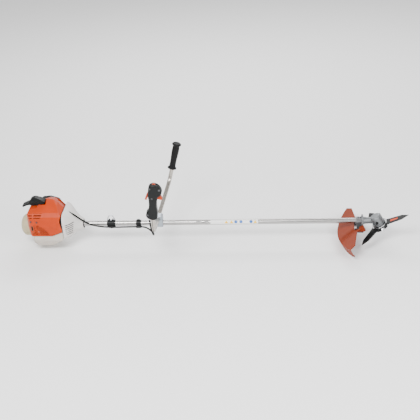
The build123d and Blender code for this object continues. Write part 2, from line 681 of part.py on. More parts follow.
def make_fan_housing():
    """White cone between the engine and the tube: cooling-air slots, clutch space and the tube's seat."""
    shell = loft([housing_section(*s, 0) for s in HOUSING_SECTIONS])
    inner = loft([housing_section(*s, SHELL) for s in HOUSING_SECTIONS[:-1]])
    shell -= inner
    shell -= block(-453, -448, -70, 70, -48, 80)
    neck = along_x(-396, -367, 26.8)
    shell = shell + neck - along_x(-400, -360, 20.0)
    for row in range(6):
        z = 36 - 10 * row
        shell -= block(-440, -404 - 1.5 * row, -100, -30, z - 2.4, z + 2.4)
    for start, end in zip(CABLE_ROUTE[:2], CABLE_ROUTE[1:3]):
        shell -= rod(start, end, CABLE_R + 1.2)
    return shell


def make_av_bushing():
    """Rubber sleeve that holds the tube in the housing's neck."""
    return ring_x(-394, -366, 20.0, TUBE_R)


TANK_SIDE = ((-606, -17), (-601, -50), (-588, -82), (-516, -82), (-486, -60), (-453.5, -34), (-453.5, 4),
             (-506, -17))
TANK_FRONT = ((-91, 20), (-90, -40), (-66, -84), (66, -84), (88, -40), (90, 20))
TANK_PLAN = ((-612, -70), (-600, -90), (-440, -92), (-440, 92), (-600, 90), (-612, 70))
TANK_WALL = 2.4
CAP_AT = (-496.0, 84.0, -38.0)
CAP_AXIS = (0.1, 0.94, 0.3)
NECK = 11.0                  # filler neck's height above the tank's shoulder


def tank_envelope(inset):
    outlines = [offset(rounded(points, 12 if k else 4), amount=-inset) if inset else rounded(points, 12 if k else 4)
                for k, points in enumerate((TANK_SIDE, TANK_FRONT, TANK_PLAN))]
    solid = side(outlines[0], -120, 120)
    solid &= front(outlines[1], -700, -400)
    solid &= plan(outlines[2], -100, 60)
    return solid


def cap_plane(distance):
    axis = Vector(*CAP_AXIS).normalized()
    return Plane(origin=Vector(*CAP_AT) + axis * distance, z_dir=axis)


def make_fuel_tank():
    low = (Align.CENTER, Align.CENTER, Align.MIN)
    outer = tank_envelope(0) + cap_plane(-22) * Cylinder(16, 22 + NECK, align=low)
    outer -= cap_plane(NECK) * Cylinder(24, 30, align=low)
    # the clutch and crankcase hang down between the tank's two cheeks
    saddle = along_x(-620, -440, 54)
    inner = tank_envelope(TANK_WALL) - along_x(-620, -440, 54 + TANK_WALL)
    inner += cap_plane(-22) * Cylinder(13, 60, align=low)
    tank = outer - saddle
    return tank - inner


def make_fuel_cap():
    low = (Align.CENTER, Align.CENTER, Align.MIN)
    cap = cap_plane(NECK + GAP) * Cylinder(19, 9, align=low)
    cap = chamfer(cap.edges().filter_by(GeomType.CIRCLE), 1.2)
    for k in range(12):
        cap -= cap_plane(NECK + GAP) * Rot(0, 0, 30 * k) * Pos(20, 0, 4.5) * Cylinder(2.2, 12)
    cap += cap_plane(NECK - 12) * Cylinder(12.6, 12 + 2 * GAP, align=low)
    cap += cap_plane(NECK + 8) * Pos(0, 0, 2.5) * Box(28, 4, 6)
    return cap


def make_starter_housing():
    """Rear dome over the rope pulley, with its cooling slots."""
    profile = make_face(Curve() + [Line((0, -622), (53, -622)), Line((53, -622), (53, -636)),
                                   Spline((53, -636), (50, -656), (36, -668), (16, -672)),
                                   Line((16, -672), (0, -672)), Line((0, -672), (0, -622))])
    turned = Plane(origin=(0, 0, 0), x_dir=(0, 1, 0), z_dir=(0, 0, -1))
    dome = revolve(turned * profile, Axis.X)
    hollow = along_x(-660, -621, 40)
    hollow += along_x(-650, -621, 49)
    dome -= hollow
    dome += ring_x(-624, -609, 53.5, 50)
    dome += along_x(-662, ROPE_X + 6, 7.0)
    for k in range(16):
        slot = Rot(22.5 * k, 0, 0) * block(-680, -655, -1.8, 1.8, 20, 38)
        dome -= slot
    return dome


def make_starter_pulley():
    pulley = ring_x(ROPE_X - 5, ROPE_X + 5, PULLEY_R + 5, 7.0 + RUN)
    pulley -= ring_x(ROPE_X - 2.4, ROPE_X + 2.4, PULLEY_R + 9, PULLEY_R - ROPE_R)
    for k in range(6):
        pulley -= Rot(60 * k, 0, 0) * along_x(ROPE_X - 9, ROPE_X + 9, 5, 0, 17)
    return pulley


def rope_tangent():
    """Where the straight rope leaves the pulley's winding, seen along X."""
    height = 108.0
    lean = atan2(ROPE_Y, height)
    reach = acos(PULLEY_R / hypot(ROPE_Y, height))
    angle = lean + reach
    return (ROPE_X, PULLEY_R * sin(angle), PULLEY_R * cos(angle)), (ROPE_X, ROPE_Y, height)


def make_starter_rope():
    start, guide = rope_tangent()
    path = FilletPolyline(start, guide, (ROPE_X, ROPE_Y, 122), radius=[20])
    return sweep(Plane(origin=path @ 0, z_dir=path % 0) * Circle(ROPE_R), path=path)


GRIP_HALF = 17.0


def grip_outline():
    """Side view of the pull handle: thin tail behind, tall wedge in front."""
    return make_face(Curve() + [Line((-648, 110), (-650, 117)), Spline((-650, 117), (-632, 125), (-616, 132)),
                                Spline((-616, 132), (-600, 153), (-588, 158), (-572, 154)),
                                Spline((-572, 154), (-552, 145), (-538, 134)),
                                Spline((-538, 134), (-546, 125), (-556, 122)), Line((-556, 122), (-618, 121)),
                                Spline((-618, 121), (-634, 116), (-648, 110))])


def make_starter_grip():
    """Wing-shaped pull handle lying along the top of the engine."""
    left = ROPE_Y - GRIP_HALF
    right = ROPE_Y + GRIP_HALF
    body = side(grip_outline(), left, right)
    body &= front(rounded(((left, 100), (right, 100), (right, 142), (right - 8, 164), (left + 8, 164), (left, 142)), 5),
                  -700, -500)
    body -= rod((ROPE_X, ROPE_Y, 110), (ROPE_X, ROPE_Y, 122), ROPE_R + 0.4)
    return body


def grip_pocket(margin):
    """Space the handle needs on its way up."""
    return block(-700, -536 + margin, ROPE_Y - GRIP_HALF - margin, ROPE_Y + GRIP_HALF + margin, 120 - margin, 220)


def make_filter_cover():
    """Black air-filter cover on the far side."""
    profile = rounded(((-606, 10), (-600, 84), (-576, 99), (-540, 102), (-500, 88), (-474, 54), (-468, 10)), 12)
    body = side(profile, 67, 104)
    body &= plan(rounded(((-606, 60), (-606, 90), (-580, 104), (-500, 104), (-466, 88), (-466, 60)), 9), -10, 140)
    inner = side(offset(profile, amount=-2.6), 60, 101)
    inner &= plan(rounded(((-603, 40), (-603, 88), (-578, 101), (-502, 101), (-469, 86), (-469, 40)), 7), -10, 140)
    body -= inner
    for k in range(4):
        body -= block(-590 + 4 * k, -550 - 4 * k, 98, 110, 34 + 9 * k, 38 + 9 * k)
    return body


def make_air_filter():
    """Pleated filter element behind the cover."""
    element = block(-580, -504, 72, 92, 30, 80)
    for k in range(10):
        element -= block(-577 + 7.5 * k, -573.5 + 7.5 * k, 84, 93, 34, 76)
    return element


# ---------------------------------------------------------------- engine internals
DECK_Z = 42.0                # cylinder's foot
HEAD_Z = 110.0               # cylinder's top
PIN_TOP = STROKE / 2
ROD_LENGTH = 62.0


def make_crankcase():
    body = block(-578, -512, -34, 34, -34, DECK_Z)
    body = fillet(body.edges().filter_by(Axis.X).sort_by(Axis.Z)[:2], 14)
    body -= along_x(-566, -524, 29)
    body -= rod((CRANK_X, 0, 0), (CRANK_X, 0, 60), BORE_R)
    body -= along_x(-600, -480, 7.0 + RUN)
    return body


def make_cylinder():
    barrel = rod((CRANK_X, 0, DECK_Z), (CRANK_X, 0, HEAD_Z), 25)
    fins = block(CRANK_X - 30, CRANK_X + 30, -36, 36, 62, HEAD_Z)
    for k in range(7):
        z = 65 + 7 * k
        groove = block(CRANK_X - 40, CRANK_X + 40, -40, 40, z, z + 4.4)
        groove -= rod((CRANK_X, 0, z - 1), (CRANK_X, 0, z + 6), 25)
        fins -= groove
    body = barrel + fins + block(CRANK_X - 30, CRANK_X + 30, -32, 32, DECK_Z, DECK_Z + 6)
    body += rod((CRANK_X, -36, 74), (CRANK_X, -20, 74), 13) + rod((CRANK_X, 44, 58), (CRANK_X, 20, 58), 13)
    body -= rod((CRANK_X, 0, DECK_Z - 1), (CRANK_X, 0, 100), BORE_R)
    body -= rod((CRANK_X, -40, 74), (CRANK_X, 0, 74), 8) + rod((CRANK_X, 50, 58), (CRANK_X, 0, 58), 8)
    return body - rod(plug_point(-2), plug_point(30), 7) - rod(plug_point(9), plug_point(30), 10)


def make_piston():
    top = PIN_TOP + ROD_LENGTH + 20
    piston = rod((CRANK_X, 0, top - 34), (CRANK_X, 0, top), BORE_R - RUN)
    piston -= rod((CRANK_X, 0, top - 36), (CRANK_X, 0, top - 5), BORE_R - 3.5)
    for z in (top - 5, top - 9):
        piston -= ring_z(z, z + 1.4, BORE_R + 2, BORE_R - 1.2)
    pin = along_x(CRANK_X - 18, CRANK_X + 18, 5, 0, PIN_TOP + ROD_LENGTH)
    return piston + pin


def ring_z(z0, z1, outer, inner):
    return rod((CRANK_X, 0, z0), (CRANK_X, 0, z1), outer) - rod((CRANK_X, 0, z0 - 1), (CRANK_X, 0, z1 + 1), inner)


def make_connecting_rod():
    """Rod at top dead centre, with its crank pin as a separate solid."""
    top = PIN_TOP + ROD_LENGTH
    body = along_x(CRANK_X - 4.5, CRANK_X + 4.5, 11, 0, PIN_TOP) + along_x(CRANK_X - 4.5, CRANK_X + 4.5, 8.5, 0, top)
    body += block(CRANK_X - 2.6, CRANK_X + 2.6, -5, 5, PIN_TOP + 8, top - 6)
    body -= along_x(CRANK_X - 9, CRANK_X + 9, 6.5 + RUN, 0, PIN_TOP)
    body -= along_x(CRANK_X - 9, CRANK_X + 9, 5 + RUN, 0, top)
    pin = along_x(CRANK_X - 5.4, CRANK_X + 5.4, 6.5, 0, PIN_TOP)
    return Compound(children=[body, pin])


def make_crankshaft():
    """Two round webs on their main journals; the pin between them is carried by the rod's node."""
    rear = along_x(CRANK_X - 16, CRANK_X - 5.8, 27.5) + along_x(ROPE_X + 9, CRANK_X - 15, 7.0)
    ahead = along_x(CRANK_X + 5.8, CRANK_X + 16, 27.5) + along_x(CRANK_X + 15, DRUM_X - 2, 7.0)
    rear -= along_x(CRANK_X - 12, CRANK_X - 5, 7, 0, PIN_TOP + 1)
    return Compound(children=[rear, ahead])


def make_flywheel():
    wheel = along_x(-482, -468, 40)
    wheel -= ring_x(-474, -460, 34, 16)
    for k in range(14):
        blade = Rot(360 / 14 * k, 0, 0) * Pos(-463, 0, 40) * Rot(0, 0, 18) * Box(16, 2, 20)
        wheel += blade
    wheel += ring_x(-473, -470, 50, 38)
    return wheel - along_x(-500, -450, 7.0)


def make_ignition_module():
    body = block(-484, -462, -16, 16, 58, 80)
    body += block(-478, -466, -12, -5, 53.5, 59) + block(-478, -466, 5, 12, 53.5, 59)
    return fillet(body.edges().filter_by(Axis.X).sort_by(Axis.Z)[-2:], 3)


CLUTCH_X = -454.0


def make_clutch_carrier():
    """Hub and two arms that push the shoes round."""
    carrier = along_x(CLUTCH_X - 1, CLUTCH_X + 19, 11) + block(CLUTCH_X + 6, CLUTCH_X + 16, -25, 25, -4.5, 4.5)
    return carrier - along_x(-500, -400, 7.0)


def clutch_shoe(sign):
    """Friction shoe, clear of the drum at rest."""
    shoe = ring_x(CLUTCH_X + 5, CLUTCH_X + 17, DRUM_R - 4.0, 12.5)
    shoe &= block(CLUTCH_X, CLUTCH_X + 20, -40, 40, 5.2, 40)
    shoe -= ring_x(CLUTCH_X + 13.6, CLUTCH_X + 18, 21, 17)
    return shoe if sign > 0 else Rot(180, 0, 0) * shoe


def make_clutch_drum():
    drum = ring_x(CLUTCH_X + 4, DRUM_X + 4, DRUM_R, DRUM_R - 2.4)
    drum += along_x(DRUM_X + 1.4, DRUM_X + 4, DRUM_R)
    drum += along_x(DRUM_X + 4, DRUM_X + 16, 8)
    return drum - along_x(DRUM_X + 6, DRUM_X + 30, SHAFT_R)


def make_muffler():
    body = block(-606, -524, -84, -46, 10, 78)
    body = fillet(body.edges(), 6)
    body += rod((CRANK_X, -48, 74), (CRANK_X, -36.2, 74), 13) - rod((CRANK_X, -60, 74), (CRANK_X, -30, 74), 8)
    body -= block(-604, -528, -80, -50, 14, 74)
    body += block(EXHAUST_X - 4, EXHAUST_X + 4, -90, -80, EXHAUST_Z - 12, EXHAUST_Z + 12)
    return body - block(EXHAUST_X - 2.6, EXHAUST_X + 2.6, -92, -78, EXHAUST_Z - 10, EXHAUST_Z + 10)


def plug_point(out, ahead=0.0):
    """A point on the plug's axis, which leans 45 degrees forward, this far out of the combustion space."""
    step = out * sin(radians(45))
    return (CRANK_X + 20 + step + ahead, 0, 102 + step - 0.5 * ahead)


def make_spark_plug():
    """Plug in the cylinder's head, leaning forward, its rubber boot a separate solid on top."""
    plug = rod(plug_point(0), plug_point(10), 7)
    plug += rod(plug_point(10), plug_point(15), 9) + rod(plug_point(15), plug_point(24), 4.5)
    boot = rod(plug_point(16), plug_point(29), 7.5) - rod(plug_point(10), plug_point(24), 4.5)
    boot += rod(plug_point(26), plug_point(26, 22), 4.0)
    return Compound(children=[plug, boot])


CARB_Z = 58.0


def make_carburetor():
    body = block(CRANK_X - 17, CRANK_X + 17, 44.3, 66, 40, 78)
    body = fillet(body.edges().filter_by(Axis.Y), 4)
    body += block(CRANK_X - 12, CRANK_X + 12, 46, 64, 34, 41)
    body -= rod((CRANK_X, 30, CARB_Z), (CRANK_X, 70, CARB_Z), 8)
    body -= rod((CRANK_X - 30, 55, 68), (CRANK_X + 30, 55, 68), 1.5 + RUN)
    return body


def make_throttle_lever():
    """Butterfly shaft with the lever that the cable pulls."""
    lever = along_x(CRANK_X - 26, CRANK_X + 19, 1.5, 55, 68)
    lever += block(CRANK_X - 22.5, CRANK_X - 19, 52, 58, 60, 86)
    lever += along_x(CRANK_X - 24.5, CRANK_X - 17.6, 2.2, 55, 83)
    return lever


CHOKE_AT = (-584.0, 66.0, -2.0)


def make_choke_knob():
    x, y, z = CHOKE_AT
    knob = rod((x, y + 2.5, z), (x, y + 14, z), 8.5)
    knob = chamfer(knob.edges().filter_by(GeomType.CIRCLE).sort_by(Axis.Y)[-1], 1)
    knob += block(x - 2.5, x + 2.5, y + 13, y + 19, z - 8, z + 8)
    knob += rod((x, y - 8, z), (x, y + 3, z), 3)
    return knob


BULB_AT = (-556.0, 66.0, -1.0)
BULB_R = 9.0


def make_primer_bulb():
    x, y, z = BULB_AT
    return Pos(x, y + 1, z) * Sphere(BULB_R) + rod((x, y - 8, z), (x, y + 1, z), BULB_R)


def make_housing_screws():
    """Identical screws of the gearbox, the deflector and the shroud."""
    solids = [screw((x, -9.5, 22), (0, 0, 1), 8) for x in (951, 962)]
    solids += [screw((957, y, -41), (0, 0, -1), 14) for y in (-11, 11)]
    solids += [screw((x, SHROUD_SCREW_Y, z), (0, -1, 0), 4.5) for x, z in SHROUD_SCREWS]
    solids.append(rod((RING_X, -8, -20), (RING_X, 8, -20), SCREW_R) + rod((RING_X, -10, -20), (RING_X, -6, -20), 4))
    return Compound(children=solids)


PARTS = {
    "brush_knife": make_knife,
    "thrust_plate": make_thrust_plate,
    "thrust_washer": make_thrust_washer,
    "rider_plate": make_rider_plate,
    "blade_nut": make_blade_nut,
    "output_shaft": make_output_shaft,
    "output_gear": make_output_gear,
    "pinion_gear": make_pinion,
    "gearbox_bearings": make_gearbox_bearings,
    "gearbox_housing": make_gearbox_housing,
    "grease_plug": make_grease_plug,
    "deflector": make_deflector,
    "deflector_bracket": make_deflector_bracket,
    "housing_screws": make_housing_screws,
    "drive_tube": lambda: ring_x(TUBE_REAR_X, TUBE_FRONT_X, TUBE_R, TUBE_BORE_R),
    "drive_shaft": make_drive_shaft,
    "shaft_bushings": make_shaft_bushings,
    "carrying_ring_clamp": make_ring_clamp,
    "carrying_ring": make_carrying_ring,
    "cable_clip": make_cable_clip,
    "throttle_cable": make_throttle_cable,
    "handlebar": make_handlebar,
    "handlebar_clamp_lower": make_clamp_lower,
    "handlebar_clamp_upper": make_clamp_upper,
    "clamp_screws": make_clamp_screws,
    "left_grip": make_left_grip,
    "handle_shell_left": lambda: handle_half(True),
    "handle_shell_right": lambda: handle_half(False),
    "handle_screws": make_handle_screws,
    "throttle_trigger": make_trigger,
    "trigger_interlock": make_interlock,
    "stop_switch": make_stop_switch,
    "engine_shroud": make_shroud,
    "fan_housing": make_fan_housing,
    "av_bushing": make_av_bushing,
    "fuel_tank": make_fuel_tank,
    "fuel_cap": make_fuel_cap,
    "starter_housing": make_starter_housing,
    "starter_pulley": make_starter_pulley,
    "starter_rope": make_starter_rope,
    "starter_grip": make_starter_grip,
    "filter_cover": make_filter_cover,
    "air_filter": make_air_filter,
    "crankcase": make_crankcase,
    "cylinder": make_cylinder,
    "piston": make_piston,
    "connecting_rod": make_connecting_rod,
    "crankshaft": make_crankshaft,
    "flywheel": make_flywheel,
    "ignition_module": make_ignition_module,
    "clutch_carrier": make_clutch_carrier,
    "clutch_shoe_upper": lambda: clutch_shoe(1),
    "clutch_shoe_lower": lambda: clutch_shoe(-1),
    "clutch_drum": make_clutch_drum,
    "muffler": make_muffler,
    "spark_plug": make_spark_plug,
    "carburetor": make_carburetor,
    "throttle_lever": make_throttle_lever,
    "choke_knob": make_choke_knob,
    "primer_bulb": make_primer_bulb,
}

for name, make in PARTS.items():
    save(make(), name)
print(len(PARTS), "nodes written")
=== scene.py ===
import bpy
import math
from mathutils import Matrix, Vector


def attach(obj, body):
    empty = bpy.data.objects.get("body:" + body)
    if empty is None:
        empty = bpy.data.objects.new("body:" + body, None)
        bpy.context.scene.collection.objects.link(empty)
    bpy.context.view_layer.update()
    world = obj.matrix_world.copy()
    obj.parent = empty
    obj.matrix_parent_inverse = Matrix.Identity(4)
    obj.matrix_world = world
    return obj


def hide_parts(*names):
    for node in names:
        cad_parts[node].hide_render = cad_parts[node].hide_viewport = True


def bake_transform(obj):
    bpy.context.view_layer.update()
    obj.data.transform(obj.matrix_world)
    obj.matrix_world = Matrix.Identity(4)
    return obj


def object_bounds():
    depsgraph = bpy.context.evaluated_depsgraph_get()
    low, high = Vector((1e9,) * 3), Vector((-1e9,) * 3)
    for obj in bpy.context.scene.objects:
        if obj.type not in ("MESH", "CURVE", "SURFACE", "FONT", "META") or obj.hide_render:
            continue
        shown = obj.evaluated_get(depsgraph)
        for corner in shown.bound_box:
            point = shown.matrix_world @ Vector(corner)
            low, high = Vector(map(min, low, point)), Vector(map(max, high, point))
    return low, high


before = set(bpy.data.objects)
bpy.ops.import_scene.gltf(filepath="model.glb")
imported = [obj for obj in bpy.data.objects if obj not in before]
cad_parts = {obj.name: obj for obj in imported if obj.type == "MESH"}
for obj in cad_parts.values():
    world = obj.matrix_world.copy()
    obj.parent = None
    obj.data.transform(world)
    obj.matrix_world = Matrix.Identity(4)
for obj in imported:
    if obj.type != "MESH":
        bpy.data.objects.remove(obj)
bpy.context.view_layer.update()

# Lengths are in metres in the row frame: X forward along the tube, Y to the operator's left, Z up.
TUBE_R = 0.0127
HEAD_X = 1.040
HEAD_TILT = math.radians(28.0)
KNIFE_S = 0.0234
KNIFE_TURN = math.radians(12.5)
CABLE_R = 0.004
CABLE_ROUTE = ((-0.446, -0.012, 0.076), (-0.420, -0.016, 0.072), (-0.385, -0.021, 0.045),
               (-0.340, -0.023, 0.011), (-0.290, -0.022, -0.005), (-0.232, -0.0205, -0.0105),
               (-0.176, -0.015, -0.0133), (-0.109, -0.013, -0.0135), (-0.085, -0.013, -0.0135),
               (-0.060, -0.030, -0.007), (-0.036, -0.072, 0.008), (-0.016, -0.122, 0.028),
               (0.002, -0.176, 0.050), (0.013, -0.222, 0.068), (0.015, -0.253, 0.092),
               (0.009, -0.260, 0.128), (0.007, -0.257, 0.168))

ROPE_R = 0.0018
ROPE_X, ROPE_Y = -0.604, -0.008
ROPE_ROUTE = ((ROPE_X, 0.0264, 0.0092), (ROPE_X, -0.0028, 0.0930), (ROPE_X, ROPE_Y, 0.1080),
              (ROPE_X, ROPE_Y, 0.1215))
FILM = 0.00010               # how far the label and the bars stand off the tube
MARK_FILM = 0.00018          # the marks stand on the label


# ---------------------------------------------------------------- materials
GRAIN_DEPTH = 0.0004
COAT_ROUGHNESS = 0.12
WEAR_PATCHES = 160.0         # noise scale of the worn places along an edge
GLOW_REACH = (0.004, 0.003, 0.002)


def linear(rgb):
    """sRGB, 0 to 255, as linear light."""
    out = []
    for value in rgb:
        c = value / 255
        out.append(c / 12.92 if c <= 0.04045 else ((c + 0.055) / 1.055) ** 2.4)
    return (*out, 1.0)


class Finish:
    """Node tree of one material slot: base colour with mottling, worn edges, grain and rounded corners."""

    def __init__(self, slot):
        self.material = bpy.data.materials.get(slot) or bpy.data.materials.new(slot)
        self.material.use_nodes = True
        self.tree = self.material.node_tree
        self.tree.nodes.clear()
        self.shader = self.add("ShaderNodeBsdfPrincipled")
        output = self.add("ShaderNodeOutputMaterial")
        self.link(self.shader.outputs["BSDF"], output.inputs["Surface"])
        self.coords = self.add("ShaderNodeTexCoord").outputs["Object"]

    def add(self, kind):
        return self.tree.nodes.new(kind)

    def link(self, a, b):
        self.tree.links.new(a, b)

    def noise(self, scale, stretch=(1, 1, 1), detail=4.0, roughness=0.6):
        mapping = self.add("ShaderNodeMapping")
        mapping.inputs["Scale"].default_value = stretch
        self.link(self.coords, mapping.inputs["Vector"])
        node = self.add("ShaderNodeTexNoise")
        node.inputs["Scale"].default_value = scale
        node.inputs["Detail"].default_value = detail
        node.inputs["Roughness"].default_value = roughness
        self.link(mapping.outputs["Vector"], node.inputs["Vector"])
        return node.outputs["Fac"]

    def remap(self, value, low, high, to_low=0.0, to_high=1.0):
        node = self.add("ShaderNodeMapRange")
        node.inputs["From Min"].default_value = low
        node.inputs["From Max"].default_value = high
        node.inputs["To Min"].default_value = to_low
        node.inputs["To Max"].default_value = to_high
        self.link(value, node.inputs["Value"])
        return node.outputs["Result"]

    def mix(self, factor, a, b):
        """Mixes two colours; each is a socket or a linear RGBA value."""
        node = self.add("ShaderNodeMix")
        node.data_type = "RGBA"
        self.link(factor, node.inputs["Factor"])
        for socket, colour in ((node.inputs["A"], a), (node.inputs["B"], b)):
            if isinstance(colour, tuple):
                socket.default_value = colour
            else:
                self.link(colour, socket)
        return node.outputs["Result"]

    def multiply(self, a, b):
        node = self.add("ShaderNodeMath")
        node.operation = "MULTIPLY"
        self.link(a, node.inputs[0])
        self.link(b, node.inputs[1])
        return node.outputs["Value"]

    def rounded_normal(self, radius):
        bevel = self.add("ShaderNodeBevel")
        bevel.samples = 4
        bevel.inputs["Radius"].default_value = radius
        return bevel.outputs["Normal"]

    def edges(self, normal):
        """1 on sharp edges, 0 on open faces."""
        geometry = self.add("ShaderNodeNewGeometry")
        dot = self.add("ShaderNodeVectorMath")
        dot.operation = "DOT_PRODUCT"
        self.link(normal, dot.inputs[0])
        self.link(geometry.outputs["Normal"], dot.inputs[1])
        return self.remap(dot.outputs["Value"], 0.985, 0.80)


def build_finish(slot, colour, rough, metal=0.0, shade=0.82, mottle=14.0, grain=1400.0, relief=0.12,
                 stretch=(1, 1, 1), wear=None, wear_share=0.5, corner=0.0007, coat=0.0, glow=0.0,
                 spread=0.08, specular=0.22):
    """Builds one slot's material. mottle and grain are noise scales; corner is an edge's radius."""
    f = Finish(slot)
    base = linear(colour)
    darker = tuple(c * shade for c in base[:3]) + (1.0,)
    surface = f.mix(f.remap(f.noise(mottle), 0.35, 0.65), darker, base)
    fine = f.noise(grain, stretch, detail=3.0)
    surface = f.mix(f.remap(fine, 0.25, 0.75, 0.0, 0.35), surface, darker)
    normal = f.rounded_normal(corner)
    if wear:
        patches = f.remap(f.noise(WEAR_PATCHES), 0.42, 0.62, 0.0, wear_share)
        surface = f.mix(f.multiply(f.edges(normal), patches), surface, linear(wear))
    f.link(surface, f.shader.inputs["Base Color"])
    f.link(f.remap(f.noise(mottle * 6, stretch), 0.3, 0.7, rough - spread / 2, rough + spread / 2),
           f.shader.inputs["Roughness"])
    bump = f.add("ShaderNodeBump")
    bump.inputs["Strength"].default_value = relief
    bump.inputs["Distance"].default_value = GRAIN_DEPTH
    f.link(fine, bump.inputs["Height"])
    f.link(normal, bump.inputs["Normal"])
    f.link(bump.outputs["Normal"], f.shader.inputs["Normal"])
    f.shader.inputs["Metallic"].default_value = metal
    f.shader.inputs["Specular IOR Level"].default_value = specular
    f.shader.inputs["Coat Weight"].default_value = coat
    f.shader.inputs["Coat Roughness"].default_value = COAT_ROUGHNESS
    if glow:
        f.shader.inputs["Subsurface Weight"].default_value = glow
        f.shader.inputs["Subsurface Radius"].default_value = GLOW_REACH
        f.shader.inputs["Subsurface Scale"].default_value = 1.0
    return f.material


ALONG_TUBE = (0.03, 1.0, 1.0)
FINISHES = {
    "shroud_orange": dict(
        colour=(180, 54, 0), rough=0.44, shade=0.86, relief=0.1, wear=(226, 120, 60), corner=0.0022
    ),
    "housing_white": dict(
        colour=(206, 202, 198), rough=0.4, shade=0.92, relief=0.14, wear=(180, 176, 170), corner=0.0022
    ),
    "tank_plastic": dict(
        colour=(196, 187, 176), rough=0.45, shade=0.9, relief=0.1, wear=(235, 230, 222), glow=0.25,
        corner=0.0022
    ),
    "starter_plastic": dict(
        colour=(184, 172, 140), rough=0.45, shade=0.9, relief=0.12, wear=(150, 143, 122)
    ),
    "black_plastic": dict(colour=(11, 14, 14), rough=0.42, shade=0.7, relief=0.22, wear=(88, 90, 92)),
    "black_rubber": dict(
        colour=(9, 10, 10), rough=0.6, shade=0.7, relief=0.3, wear=(60, 60, 60), corner=0.001
    ),
    "lever_orange": dict(colour=(176, 54, 0), rough=0.38, shade=0.88, relief=0.1, wear=(240, 150, 100)),
    "deflector_orange": dict(
        colour=(124, 42, 8), rough=0.52, shade=0.86, relief=0.16, wear=(200, 110, 70), glow=0.12
    ),
    "tube_aluminium": dict(
        colour=(176, 174, 172), rough=0.27, metal=1.0, shade=0.9, stretch=ALONG_TUBE, relief=0.05,
        wear=(230, 230, 232)
    ),
    "handlebar_steel": dict(
        colour=(184, 178, 170), rough=0.26, metal=1.0, shade=0.86, grain=700.0, relief=0.05,
        wear=(225, 225, 228)
    ),
    "clamp_zinc": dict(
        colour=(168, 176, 184), rough=0.4, metal=0.9, shade=0.86, grain=900.0, relief=0.22,
        wear=(222, 224, 228)
    ),
    "gearbox_cast": dict(
        colour=(128, 130, 132), rough=0.44, metal=0.8, shade=0.84, grain=900.0, relief=0.3,
        wear=(205, 206, 208)
    ),
    "blade_black": dict(
        colour=(10, 12, 13), rough=0.36, metal=0.0, shade=0.7, relief=0.12, wear=(168, 170, 172),
        wear_share=0.9, corner=0.0005
    ),
    "bright_steel": dict(
        colour=(208, 208, 210), rough=0.26, metal=1.0, shade=0.86, relief=0.06, wear=(232, 232, 234)
    ),
    "zinc_steel": dict(
        colour=(188, 190, 196), rough=0.33, metal=1.0, shade=0.82, relief=0.1, wear=(225, 225, 228)
    ),
    "dark_steel": dict(
        colour=(92, 92, 95), rough=0.42, metal=1.0, shade=0.75, relief=0.12, wear=(160, 160, 162)
    ),
    "engine_alloy": dict(
        colour=(168, 168, 166), rough=0.48, metal=0.9, shade=0.82, grain=900.0, relief=0.28,
        wear=(210, 210, 208)
    ),
    "muffler_steel": dict(
        colour=(120, 92, 76), rough=0.52, metal=0.8, shade=0.7, relief=0.2, wear=(172, 160, 150)
    ),
    "filter_felt": dict(
        colour=(196, 186, 160), rough=0.92, shade=0.8, grain=2600.0, relief=0.6, corner=0.001
    ),
    "bulb_rubber": dict(colour=(70, 66, 58), rough=0.3, shade=0.8, relief=0.06, coat=0.3, glow=0.2),
    "rope_fibre": dict(
        colour=(228, 226, 220), rough=0.85, shade=0.72, grain=2600.0, relief=0.5, stretch=(1, 1, 0.4)
    ),
    "label_film": dict(colour=(240, 240, 238), rough=0.24, shade=0.97, relief=0.04, coat=0.4),
    "label_blue": dict(colour=(28, 92, 170), rough=0.24, shade=0.94, relief=0.04, coat=0.4),
    "label_yellow": dict(colour=(246, 196, 24), rough=0.24, shade=0.94, relief=0.04, coat=0.4),
    "label_dark": dict(colour=(52, 54, 58), rough=0.3, shade=0.9, relief=0.04, coat=0.3),
    "print_orange": dict(colour=(210, 66, 12), rough=0.34, shade=0.88, relief=0.05, wear=(60, 60, 60)),
}
MATERIALS = {slot: build_finish(slot, **values) for slot, values in FINISHES.items()}


# ---------------------------------------------------------------- pieces
def new_piece(name, verts, faces, material, smooth=True):
    """A mesh object with one material, in the row frame."""
    mesh = bpy.data.meshes.new(name)
    mesh.from_pydata([tuple(v) for v in verts], [], faces)
    mesh.update()
    mesh.materials.append(MATERIALS[material])
    for polygon in mesh.polygons:
        polygon.use_smooth = smooth
    piece = bpy.data.objects.new(name, mesh)
    bpy.context.collection.objects.link(piece)
    return piece


def curve_path(points):
    """The smooth NURBS line that has the route's points as its control points."""
    data = bpy.data.curves.new("route", "CURVE")
    data.dimensions = "3D"
    data.resolution_u = 48
    spline = data.splines.new("NURBS")
    spline.points.add(len(points) - 1)
    for target, point in zip(spline.points, points):
        target.co = (*point, 1.0)
    spline.order_u = 3
    spline.use_endpoint_u = True
    holder = bpy.data.objects.new("route", data)
    bpy.context.collection.objects.link(holder)
    bpy.context.view_layer.update()
    mesh = bpy.data.meshes.new_from_object(holder)
    path = [v.co.copy() for v in mesh.vertices]
    bpy.data.objects.remove(holder)
    return path


